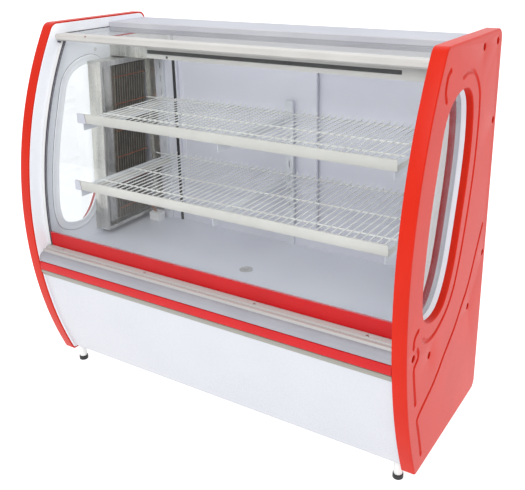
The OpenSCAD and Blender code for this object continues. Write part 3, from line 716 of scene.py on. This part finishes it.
def outer_shell(side):
    s = 1 if side == "right" else -1
    bm = bmesh.new()
    paths = groove_paths()
    contours = [(panel_outline(ROUND_R + 2), True), (grown(WINDOW, WINDOW_EDGE_R + 2), True)]
    shares = (1.15, 1.0, 0.82, 0.64, GROOVE_FLOOR)
    for path in paths:
        contours += [(round_path(path, GROOVE_R * share), True) for share in shares]
        contours.append((path, False))

    def face_x(p):
        return s * (X_OUT - side_depth(p, paths))

    def rings_at(loop_at, places):
        return [ring(bm, loop_at(d), s * x) for d, x in places]

    holes = [grown(WINDOW, WINDOW_EDGE_R)]
    holes += [circle(p, RECESS_R + RECESS_EDGE, CIRCLE_SIDES) for p in PANEL_SCREWS]
    filled = fill_face(bm, panel_outline(ROUND_R), holes, contours, face_x)
    edge, window_edge, *recess_edges = filled
    x_skin = X_OUT - SHELL_WALL

    def rounded(r, at=0.0):
        """Round-over of radius r from the side face, as (growth, x)."""
        turns = [math.pi / 2 * i / 5 for i in range(1, 6)]
        return [(at + r * (1 - math.sin(t)), X_OUT - r * (1 - math.cos(t))) for t in turns]

    # Round-over from the side face to the rim, the rim's end, and the inner side of the wall
    places = rounded(ROUND_R)
    places += [(0, RIM_X + 0.8), (0.8, RIM_X), (SHELL_WALL - 0.5, RIM_X), (SHELL_WALL, RIM_X + 0.5)]
    bridge_all(bm, [edge] + rings_at(panel_outline, places + [(SHELL_WALL, x_skin)]))
    # Window edge, window wall and its inner side
    places = rounded(WINDOW_EDGE_R)
    places += [(0, COLLAR_X), (SHELL_WALL, COLLAR_X), (SHELL_WALL, x_skin)]
    bridge_all(bm, [window_edge] + rings_at(lambda d: grown(WINDOW, d), places))
    # Screw recesses, each with a shank hole in its floor and a boss behind it
    x_floor = X_OUT - RECESS_DEPTH
    places = rounded(RECESS_EDGE, RECESS_R)
    places += [(RECESS_R, x_floor + 1), (RECESS_R - 1, x_floor), (SHANK_HOLE_R, x_floor)]
    places += [(SHANK_HOLE_R, x_floor - BOSS_WALL), (RECESS_R + BOSS_WALL, x_floor - BOSS_WALL)]
    places.append((RECESS_R + BOSS_WALL, x_skin))
    for place, recess_edge in zip(PANEL_SCREWS, recess_edges):
        rings = rings_at(lambda r: circle(place, r, CIRCLE_SIDES), places)
        bridge_all(bm, [recess_edge] + rings)
    bosses = [circle(p, RECESS_R + BOSS_WALL, CIRCLE_SIDES) for p in PANEL_SCREWS]
    holes = [grown(WINDOW, SHELL_WALL)] + bosses
    fill_face(bm, panel_outline(SHELL_WALL), holes, [], lambda p: s * x_skin)
    bmesh.ops.remove_doubles(bm, verts=bm.verts, dist=0.01)
    stand_in(side + "_moulded_shell", bm, side + "_outer_shell", angle=42)


def liner(side):
    s = 1 if side == "right" else -1
    inset = SHELL_WALL + 0.3
    outer = panel_outline(inset)
    bm = bmesh.new()
    front = fill_face(bm, panel_outline(inset + 1), [grown(WINDOW, 0)], [], lambda p: s * X_IN)
    back = fill_face(bm, outer, [grown(WINDOW, SHELL_WALL)], [], lambda p: s * X_SHELL)
    bridge_all(bm, [front[0], ring(bm, outer, s * (X_IN + 1)), back[0]])
    end = COLLAR_X - 0.8
    rings = [front[1], ring(bm, WINDOW, s * end), ring(bm, grown(WINDOW, 0.8), s * COLLAR_X)]
    rings += [ring(bm, grown(WINDOW, SHELL_WALL), s * COLLAR_X), back[1]]
    bridge_all(bm, rings)
    stand_in(side + "_liner_sheet", bm, side + "_liner", angle=40)


def window_ring(side):
    """Trim ring inside the window, with rounded edges and a shallow step."""
    s = 1 if side == "right" else -1
    low = X_IN - 3
    high = X_IN + 2
    profile = [
        (0, high), (0, low + 1.2), (-1.2, low), (-8, low), (-9, low + 0.8),
        (-RING_W + 9, low + 0.8), (-RING_W + 8, low), (-RING_W + 1.5, low), (-RING_W, low + 1.5),
        (-RING_W, high),
    ]
    bm = bmesh.new()
    rings = [ring(bm, grown(WINDOW, d), s * x) for d, x in profile]
    bridge_all(bm, rings + rings[:1])
    stand_in(side + "_window_trim", bm, side + "_window_ring", "window_trim", angle=30)


def window_glass(side):
    s = 1 if side == "right" else -1
    x0 = X_IN + 2
    x1 = x0 + GLASS_T
    profile = [(-1, x0), (-0.2, x0 + 0.8), (-0.2, x1 - 0.8), (-1, x1)]
    bm = bmesh.new()
    close_ends(bm, [ring(bm, grown(WINDOW, d), s * x) for d, x in profile])
    stand_in(side + "_window_pane", bm, side + "_window_glass", "window_glass", angle=25)


def panel_screws():
    bm = bmesh.new()
    for s in (-1, 1):
        for y, z in PANEL_SCREWS:
            add_screw(bm, (s * (X_OUT - RECESS_DEPTH + 2.4), y, z), (s, 0, 0), 4.8, 2.4, 18)
    stand_in("panel_cross_screws", bm, "panel_screws")


def liner_details(side):
    """Thin grey line of painted shade round the window trim, for the shadow gap at its outer edge,
    and a plug above it.
    """
    s = 1 if side == "right" else -1
    low = X_IN - 1
    bm = bmesh.new()
    # Painted shade: a grey bead that takes the place of the shadow gap round the trim
    seal = [(0, X_IN), (0, low), (1.4, low), (1.8, low + 0.5), (1.8, X_IN)]
    rings = [ring(bm, grown(WINDOW, d), s * x) for d, x in seal]
    bridge_all(bm, rings + rings[:1])
    add_piece(side + "_window_gap_shade", bm, "cabinet", "black_rubber", "gap_shade_grey", angle=30)
    bm = bmesh.new()
    plug = [(0, 1.2), (4.5, 1.2), (5.2, 0.6), (6.6, 0.6), (7.2, 0), (7.2, -1), (0, -1)]
    add_lathe(bm, plug, (s * X_IN, *LINER_PLUG), (-s, 0, 0))
    add_piece(side + "_liner_plug", bm, "cabinet", "white_plastic", "trim_grey", angle=30)


for side in ("left", "right"):
    liner_details(side)
    outer_shell(side)
    liner(side)
    window_ring(side)
    window_glass(side)
panel_screws()

# ---- Front and top glass ------------------------------------------------------

glass_low, glass_high = box_mm("front_glass")
bar_low, bar_high = box_mm("front_top_bar")


def sheet_between(bm, x0, x1, z0, z1, inset, t, edge=0.4, steps=30):
    """Curved sheet that follows the front outline, with its edges broken by edge."""
    profile = [(x0, inset + edge), (x0 + edge, inset), (x1 - edge, inset), (x1, inset + edge)]
    profile += [(x1, inset + t - edge), (x1 - edge, inset + t)]
    profile += [(x0 + edge, inset + t), (x0, inset + t - edge)]
    rings = []
    for i in range(steps + 1):
        z = z0 + (z1 - z0) * i / steps
        rings.append([bm.verts.new((x, front_y(z, e), z)) for x, e in profile])
    close_ends(bm, rings)


def front_glass():
    bm = bmesh.new()
    sheet_between(bm, glass_low.x, glass_high.x, glass_low.z, glass_high.z, GLASS_INSET, GLASS_T)
    pane = stand_in("front_curved_glass", bm, "front_glass", angle=25)
    pane.data.materials.append(LOOKS["glass_edge"])
    for face in pane.data.polygons:
        if abs(face.normal.x) > 0.9 or abs(face.normal.z) > 0.9:
            face.material_index = 1


BAND_TOP = 549
BAND_FADE = 9


def printed_band():
    """Enamel band on the outer face of the front glass."""
    x = glass_high.x - 0.5
    bm = bmesh.new()
    sheet_between(bm, -x, x, glass_low.z + 1, BAND_TOP, GLASS_INSET - 0.35, 0.33, 0.1, 8)
    LOOKS["printed_band"] = printed_band_look("printed_band", BAND_TOP, BAND_FADE)
    add_piece("front_glass_band", bm, "cabinet", "red_strip", "printed_band", angle=25)


def glass_edge_seals():
    """Slim dark lip at each end of the front glass, with a light bead behind it."""
    low, high = box_mm("glass_edge_gaskets")
    dark = bmesh.new()
    light = bmesh.new()
    x = glass_high.x
    for x0, x1 in ((-x - 4, -x), (x, x + 4)):
        sheet_between(dark, x0, x1, low.z, high.z, GLASS_INSET - 2, 2, 0.5)
    for x0, x1 in ((-x - 4, -x - 0.1), (x + 0.1, x + 4)):
        sheet_between(light, x0, x1, low.z, high.z, GLASS_INSET + 0.2, GLASS_T + 1.5, 0.5)
    stand_in("glass_edge_lips", dark, "glass_edge_gaskets", "dark_gasket", angle=25)
    add_piece("glass_edge_beads", light, "cabinet", "off_white_trim", "trim_grey", angle=25)


def corner_seals():
    """Short dark seal under each end of the top bar."""
    low, high = box_mm("top_bar_end_gaskets")
    bm = bmesh.new()
    for x0, x1 in ((-X_IN, -X_IN + 14), (X_IN - 14, X_IN)):
        add_slab(bm, (x0, low.y, high.z - 5), (x1, low.y + 3.4, high.z))
    stand_in("top_bar_corner_seals", bm, "top_bar_end_gaskets", "dark_gasket", edge=0.8)


def top_details():
    """Dark strips in the rear rail's grooves, seals at the ends of the top glass, and a plug."""
    rail_low, rail_high = box_mm("rear_top_rail")
    pane_top = box_mm("top_glass")[1].z
    bm = bmesh.new()
    for y in (rail_low.y + 6, rail_low.y + 13):
        foot_of_strip = (-X_IN + 0.5, y + 0.1, rail_high.z - 4)
        add_slab(bm, foot_of_strip, (X_IN - 0.5, y + 2.9, rail_high.z - 1.2))
    for x0, x1 in ((-X_IN, -X_IN + 3), (X_IN - 3, X_IN)):
        add_slab(bm, (x0, bar_high.y + 0.5, pane_top), (x1, rail_low.y - 0.5, pane_top + 1.6))
    add_piece("top_seals", bm, "cabinet", "black_rubber", "groove_dark", edge=0.3)
    bm = bmesh.new()
    dome = [(0, 1.6), (1.6, 1.3), (2.8, 0.5), (3, 0), (3, -1), (0, -1)]
    add_lathe(bm, dome, (-519, bar_low.y + 2.4, bar_high.z - 2.4), (0, -1, 1), 20)
    add_piece("top_bar_plug", bm, "cabinet", "red_strip", "red_plug")


front_glass()
printed_band()
glass_edge_seals()
corner_seals()
top_details()

# ---- Shelves ------------------------------------------------------------------

WIRE_PITCH = 23
WIRE_R = 2
SIDE_LIP_STEP = 15     # the side lips end this far below the wires
MAT_STEP = 61          # the wires start this far in from the front lip's end
CAP_T = 1.5


def lip_profile(front, low, top, turn_in):
    """Outline of a folded sheet lip: a rolled top edge, a face and a flange at its foot."""
    t = 2
    roll = [(front + 2 - 2 * math.cos(a), top - 2 + 2 * math.sin(a)) for a in (0, 0.5, 1.05, 1.57)]
    rest = [
        (front + 5, top), (front + 5, top - t), (front + t + 1, top - t - 0.5),
        (front + t, top - 4), (front + t, low + t + 1), (front + t + 1, low + t),
        (front + turn_in, low + t), (front + turn_in, low), (front + 1.5, low), (front, low + 1.5),
    ]
    return [Vector(p) for p in roll + rest]


def shelf(node, cap_w):
    """Front lip with a flat cap on its left end, side lips, and a mat of wires on cross bars."""
    low, high = box_mm(node)
    x0 = low.x + CAP_T
    x1 = high.x
    front = low.y + CAP_T
    lip_low = low.z + 1
    top = high.z - 0.5
    rear = high.y
    mat_x0 = x0 + MAT_STEP
    bm = bmesh.new()
    add_prism(bm, lip_profile(front, lip_low, top, 14), x0, x1)
    for lip_x, flange_x in ((mat_x0, mat_x0 + 2), (x1 - 2, x1 - 12)):
        add_slab(bm, (lip_x, front + 2.2, lip_low), (lip_x + 2, rear, top - SIDE_LIP_STEP))
        add_slab(bm, (flange_x, front + 16, lip_low), (flange_x + 10, rear, lip_low + 2))
    stand_in(node + "_lips", bm, node, "shelf_lip", edge=0.35, angle=50)
    caps = (("_end_cap", "cap_grey", 0, -CAP_T, -0.4), ("_cap_seam", "cap_seam", 0.9, -0.9, -0.2))
    for name, look, grow, y0, y1 in caps:
        bm = bmesh.new()
        left = x0 - 0.4 - grow
        corners = [(left, lip_low - 0.6), (x0 + cap_w + 3 + grow, lip_low - 0.6)]
        corners += [(x0 + cap_w - 3 + grow, top + 0.4), (left, top + 0.4)]
        rings = [[bm.verts.new((x, front + y, z)) for x, z in corners] for y in (y0, y1)]
        bridge_all(bm, rings)
        for loop in rings:
            bm.faces.new(loop)
        add_piece(node + name, bm, body_of(node), SLOT_OF[node], look, edge=0.2)
    bm = bmesh.new()
    count = math.floor((x1 - mat_x0 - 12) / WIRE_PITCH)
    first = (mat_x0 + x1 - count * WIRE_PITCH) / 2
    z = top - WIRE_R
    for i in range(count + 1):
        x = first + i * WIRE_PITCH
        path = [(x, front + 2, z - 1), (x, front + 9, z), (x, rear - 4, z), (x, rear - 1, z + 9)]
        add_tube(bm, bent(path, 3.5, 3), WIRE_R, 8)
    for y in (front + 60, (front + rear) / 2, rear - 8):
        start = x0 if y > rear - 9 else mat_x0
        add_tube(bm, [(start + 1.5, y, z - 2 - WIRE_R), (x1 - 1.5, y, z - 2 - WIRE_R)], 2.5, 10)
    add_piece(node + "_wires", bm, body_of(node), SLOT_OF[node])


shelf("upper_shelf", 36)
shelf("lower_shelf", 25)

# ---- Lamp ---------------------------------------------------------------------


def lamp_tube():
    low, high = box_mm("lamp_tube")
    middle = (low + high) / 2
    r = (high.z - low.z) / 2
    bm = bmesh.new()
    length = high.x - low.x
    glass = [(0, 16), (r - 1.5, 16), (r - 0.3, 18)]
    glass += [(r - 0.3, length - 18), (r - 1.5, length - 16), (0, length - 16)]
    add_lathe(bm, glass, (low.x, middle.y, middle.z), (1, 0, 0))
    stand_in("lamp_glass_tube", bm, "lamp_tube")
    bm = bmesh.new()
    for x, d in ((low.x, 1), (high.x, -1)):
        cap = [(0, 0), (r - 0.8, 0), (r, 0.8), (r, 15), (r - 0.8, 16.5), (0, 16.5)]
        add_lathe(bm, cap, (x, middle.y, middle.z), (d, 0, 0))
    add_piece("lamp_end_caps", bm, "cabinet", "satin_aluminium")


def lamp_slot():
    """Dark strip in the slot along the front of the lamp housing: painted shade for the dark inside
    of the slot.
    """
    low, high = box_mm("lamp_housing")
    bm = bmesh.new()
    # Painted shade: a dark strip that fills the slot where it lies in shade
    add_slab(bm, (low.x + 4, low.y + 1.5, high.z - 23.5), (high.x - 97, low.y + 6, high.z - 12.5))
    add_piece("lamp_slot_shade_strip", bm, "cabinet", "dark_plastic", edge=0.3)
    bm = bmesh.new()
    add_screw(bm, (-217, low.y - 1.2, low.z + 7), (0, -1, 0), 4.2, 1.4, 5)
    add_piece("lamp_housing_screw", bm, "cabinet", "zinc_screw", "groove_dark")


lamp_tube()
lamp_slot()

# ---- Evaporator coil ------------------------------------------------------------

COIL_LEAN = 0.06
FIN_PITCH = 12.5
FIN_T = 1.8
FIN_COUNT = 13
HEM_T = 3.2            # thickness of the fold along a fin's open edge
TUBE_END = 241         # the tubes stop short of the cover's rear flange
TUBE_ROWS = [540 + 98 * i for i in range(6)]


def evaporator_coil():
    """Leaning fins with folded edges, tubes through them and thin lines across their open side."""
    low, high = box_mm("evaporator_coil")
    z0 = low.z
    z1 = high.z

    def lean(z):
        return -COIL_LEAN * (z1 - z)

    first = low.y - lean(z0)
    last = high.y
    bm = bmesh.new()
    for i in range(FIN_COUNT):
        y = first + FIN_PITCH * i
        outline = [(y + lean(z0), z0), (y + lean(z0) + FIN_T, z0), (y + FIN_T, z1), (y, z1)]
        add_prism(bm, [Vector(p) for p in outline], low.x, high.x)
    stand_in("evaporator_fins", bm, "evaporator_coil")
    bm = bmesh.new()
    for i in range(FIN_COUNT):
        y = first + FIN_PITCH * i - 1
        hem = [(y + lean(z0), z0 + 1), (y + lean(z0) + HEM_T, z0 + 1)]
        hem += [(y + HEM_T, z1 - 1), (y, z1 - 1)]
        add_prism(bm, [Vector(p) for p in hem], high.x - 2, high.x - 0.2)
    add_piece("evaporator_fin_hems", bm, "cabinet", "coil_fins", "fin_edge")
    bm = bmesh.new()
    for z in TUBE_ROWS:
        for x, r in ((low.x + 10, 4.5), (high.x - 17, 4.5), (high.x + 0.8, 2.2)):
            end = min(last + 3, TUBE_END) + lean(z)
            add_tube(bm, [(x, first - 1 + lean(z), z), (x, end, z)], r, 10)
    add_piece("evaporator_tubes", bm, "cabinet", "coil_fins", "copper")


evaporator_coil()

# ---- Door strip and evaporator lead ---------------------------------------------

DOOR_STRIP = (484, 275.5, 500), (494, 278, 1033)
LEAD_BEND_R = 32       # as bent() takes it


def door_strip():
    """Slim white strip on the inner face of the right door."""
    bm = bmesh.new()
    add_slab(bm, *DOOR_STRIP)
    body = body_of("right_door")
    add_piece("right_door_strip", bm, body, "white_plastic", "bracket_white", edge=0.6)


def evaporator_lead():
    """Lead from the box on the floor, up and round into the evaporator."""
    low, high = box_mm("evaporator_lead")
    r = (high.y - low.y) / 2
    x = high.x - r
    y = low.y + r
    z = high.z - r
    bm = bmesh.new()
    add_tube(bm, bent([(x, y, low.z), (x, y, z), (low.x, y, z)], LEAD_BEND_R, 12), r, 14)
    stand_in("evaporator_lead_cable", bm, "evaporator_lead", angle=30)


door_strip()
evaporator_lead()

# ---- Feet and machine side ------------------------------------------------------


def foot(node):
    """Cup-shaped pad whose rim goes round the leg, on its threaded stem."""
    low, high = box_mm(node)
    base = ((low.x + high.x) / 2, (low.y + high.y) / 2, low.z)
    r = (high.x - low.x) / 2
    stem_r = 4.9
    cup = [(0, 0), (r - 2, 0), (r, 2), (r, 12), (r - 0.4, 15.5), (r - 1, 16.4)]
    cup += [(13.8, 16.4), (13.5, 14.6), (stem_r, 14.6)]
    top = high.z - low.z
    thread = [(stem_r - 0.6 * (i % 2), 15.5 + 1.5 * i) for i in range(int((top - 17) / 1.5))]
    end = [(stem_r - 1, top - 0.5), (stem_r - 1.6, top), (0, top)]
    bm = bmesh.new()
    add_lathe(bm, cup + thread + end, base, (0, 0, 1))
    stand_in(node + "_cup", bm, node)


LOUVRE_X = (-560, -300, -40)
LOUVRE_W = 200
LOUVRE_ROWS = 11
LOUVRE_PITCH = 22


def louvres():
    """Hoods over the slots of the rear cover, and its fixing screws."""
    low, high = box_mm("rear_grille")
    bm = bmesh.new()
    for x in LOUVRE_X:
        for i in range(LOUVRE_ROWS):
            z = low.z + 60 + LOUVRE_PITCH * i
            hood = [(-0.2, 12), (3, 4), (3, 2.6), (2.2, 2.6), (-0.2, 9)]
            add_prism(bm, [Vector((high.y + y, z + dz)) for y, dz in hood], x - 2, x + LOUVRE_W + 2)
    add_piece("rear_louvres", bm, "cabinet", SLOT_OF["rear_grille"], edge=0.3)
    bm = bmesh.new()
    for x in (-640, 0, 640):
        for z in (low.z + 20, high.z - 20):
            add_screw(bm, (x, high.y + 2, z), (0, 1, 0), 5, 2.2, 6)
    add_piece("rear_cover_screws", bm, "cabinet", "zinc_screw")


def control_marks():
    """Dial marks round the thermostat knob and a bezel round the rocker switch."""
    face_y = box_mm("rear_grille")[1].y
    low, high = box_mm("thermostat_knob")
    knob = (low + high) / 2
    bm = bmesh.new()
    for i in range(10):
        a = math.radians(-135 + 30 * i)
        along = Vector((math.sin(a), 0, math.cos(a)))
        path = [Vector((knob.x, face_y + 0.2, knob.z)) + along * r for r in (20, 25)]
        add_tube(bm, path, 0.7, 8)
    add_piece("thermostat_marks", bm, "cabinet", "black_rubber")
    low, high = box_mm("light_switch")
    switch = (low + high) / 2
    y0 = face_y - 0.2
    y1 = face_y + 1.6
    bm = bmesh.new()
    for x in (switch.x + 11.5, switch.x - 14.5):
        add_slab(bm, (x, y0, switch.z - 17), (x + 3, y1, switch.z + 17))
    for z in (switch.z - 17, switch.z + 14):
        add_slab(bm, (switch.x - 11.5, y0, z), (switch.x + 11.5, y1, z + 3))
    add_piece("switch_bezel", bm, "cabinet", "dark_plastic", edge=0.4)


for place in ("front_left", "front_right", "rear_left", "rear_right"):
    foot(place + "_foot")
louvres()
control_marks()

# ---- Pieces whose CAD shape only needs its edges broken -------------------------

EDGES = {
    "glass_edge_trims": 1.2, "front_top_bar": 0.5, "top_glass": 0.6, "rear_top_rail": 0.6,
    "top_deck": 1.2, "lamp_housing": 0.8, "bumper_profile": 0.4, "bumper_strip": 0.5,
    "bumper_screws": 0.4, "front_apron": 0.5, "insulated_tub": 1.0, "floor_deck": 0.4,
    "drain_strainer": 0.4, "rear_fixed_panel": 1.0, "door_frame": 1.0, "door_jamb_seals": 0.8,
    "left_door": 1.5, "right_door": 1.5, "left_door_pull": 1.5, "right_door_pull": 1.5,
    "shelf_uprights": 0.5, "shelf_brackets": 0.35, "evaporator_cover": 0.4,
    "evaporator_plenum": 0.4, "evaporator_fan": 0.4, "evaporator_motor": 0.8, "junction_box": 1.5,
    "base_frame": 1.5, "compressor": 1.5, "condenser_coil": 0.2, "condenser_shroud": 0.5,
    "condenser_fan": 0.5, "rear_grille": 0.8, "thermostat_knob": 1.0, "light_switch": 0.8,
    "cable_inlet": 1.0, "leg_tubes": 0.5,
}
LOOK_OF = {
    "front_top_bar": "bar_paint", "top_deck": "deck_sheet", "rear_top_rail": "rail_paint",
    "lamp_housing": "bar_paint", "glass_edge_trims": "trim_grey", "bumper_profile": "bumper",
    "shelf_brackets": "bracket_white", "shelf_uprights": "bracket_white",
}
for node, edge in EDGES.items():
    softened(node, edge, LOOK_OF.get(node))
for node in ("left_foam_core", "right_foam_core"):
    frame["nodes"][node].data.materials.clear()
    frame["nodes"][node].data.materials.append(LOOKS["foam"])

# ---- Floor, light and camera --------------------------------------------------


def floor_look():
    """White sweep that is lit from within, so that shadows on it stay faint."""
    finish = ((170, 170, 172), (166, 166, 168), 0.6, 0.05, 0.5, 30, 0.1)
    material = finish_look("studio_floor", *finish, spec=0.2)
    shader = next(n for n in material.node_tree.nodes if n.type == "BSDF_PRINCIPLED")
    shader.inputs["Emission Color"].default_value = (1, 1, 1, 1)
    shader.inputs["Emission Strength"].default_value = 0.9
    return material


FLOOR_HALF = 20        # in metres
SHOWN_STRENGTH = 1.1   # of the world behind the case
# Axis, range along it, and the world's strength at either end
WORLD_SHARES = (("Y", -0.2, 0.9, 0.74, 1.35), ("Z", 0.1, 0.8, 0.74, 1.2))


def studio_floor():
    bm = bmesh.new()
    corners = [(-1, -1), (1, -1), (1, 1), (-1, 1)]
    bm.faces.new([bm.verts.new((x * FLOOR_HALF, y * FLOOR_HALF, 0)) for x, y in corners])
    mesh = bpy.data.meshes.new("studio_floor")
    bm.to_mesh(mesh)
    bm.free()
    mesh.materials.append(floor_look())
    floor = bpy.data.objects.new("studio_floor", mesh)
    bpy.context.scene.collection.objects.link(floor)


def surroundings():
    """White world that is stronger behind and above the case than in front of it."""
    world = bpy.data.worlds.new("studio")
    bpy.context.scene.world = world
    world.use_nodes = True
    nodes = world.node_tree.nodes
    links = world.node_tree.links
    direction = nodes.new("ShaderNodeTexCoord").outputs["Generated"]
    parts = nodes.new("ShaderNodeSeparateXYZ")
    links.new(direction, parts.inputs[0])
    shares = []
    for axis, start, end, low, high in WORLD_SHARES:
        share = nodes.new("ShaderNodeMapRange")
        set_range(share, start, end, low, high)
        links.new(parts.outputs[axis], share.inputs["Value"])
        shares.append(share.outputs[0])
    strength = nodes.new("ShaderNodeMath")
    strength.operation = "MULTIPLY"
    for i, share in enumerate(shares):
        links.new(share, strength.inputs[i])
    shown = nodes.new("ShaderNodeMix")
    links.new(nodes.new("ShaderNodeLightPath").outputs["Is Camera Ray"], shown.inputs["Factor"])
    links.new(strength.outputs[0], shown.inputs["A"])
    shown.inputs["B"].default_value = SHOWN_STRENGTH
    background = nodes["Background"]
    background.inputs["Color"].default_value = (1, 1, 1, 1)
    links.new(shown.outputs["Result"], background.inputs["Strength"])


def area_light(name, place, target, size, power):
    lamp = bpy.data.lights.new(name, "AREA")
    lamp.shape = "SQUARE"
    lamp.size = size
    lamp.energy = power
    light = bpy.data.objects.new(name, lamp)
    light.location = place
    light.rotation_euler = (Vector(target) - Vector(place)).to_track_quat("-Z", "Y").to_euler()
    bpy.context.scene.collection.objects.link(light)


CAMERA_PLACE = (1.292, -1.853, 1.488)
CAMERA_AZIMUTH = 32.246
CAMERA_ELEVATION = 19.195
CAMERA_ROLL = -0.965
LENS = 50.552
LENS_SHIFT = (-0.0271, -0.0931)


def camera():
    azimuth = math.radians(CAMERA_AZIMUTH)
    elevation = math.radians(CAMERA_ELEVATION)
    roll = math.radians(CAMERA_ROLL)
    data = bpy.data.cameras.new("camera")
    data.sensor_width = 36
    data.lens = LENS
    data.shift_x, data.shift_y = LENS_SHIFT
    eye = bpy.data.objects.new("camera", data)
    bpy.context.scene.collection.objects.link(eye)
    back = Vector((
        math.sin(azimuth) * math.cos(elevation),
        -math.cos(azimuth) * math.cos(elevation),
        math.sin(elevation),
    ))
    eye.location = CAMERA_PLACE
    right = Vector((math.cos(azimuth), math.sin(azimuth), 0))
    up = back.cross(right)
    tilted = right * math.cos(roll) + up * math.sin(roll)
    axes = Matrix((tilted, back.cross(tilted), back)).transposed()
    eye.rotation_euler = axes.to_euler()
    bpy.context.scene.camera = eye


studio_floor()
surroundings()
area_light("key", (0.9, -3.4, 3.2), (0, 0, 0.8), 2.0, 72)
area_light("top", (0.4, 0.6, 3.8), (0, 0.1, 0.8), 2.6, 14)
camera()
bpy.context.scene.view_settings.view_transform = "Standard"
bpy.context.view_layer.update()
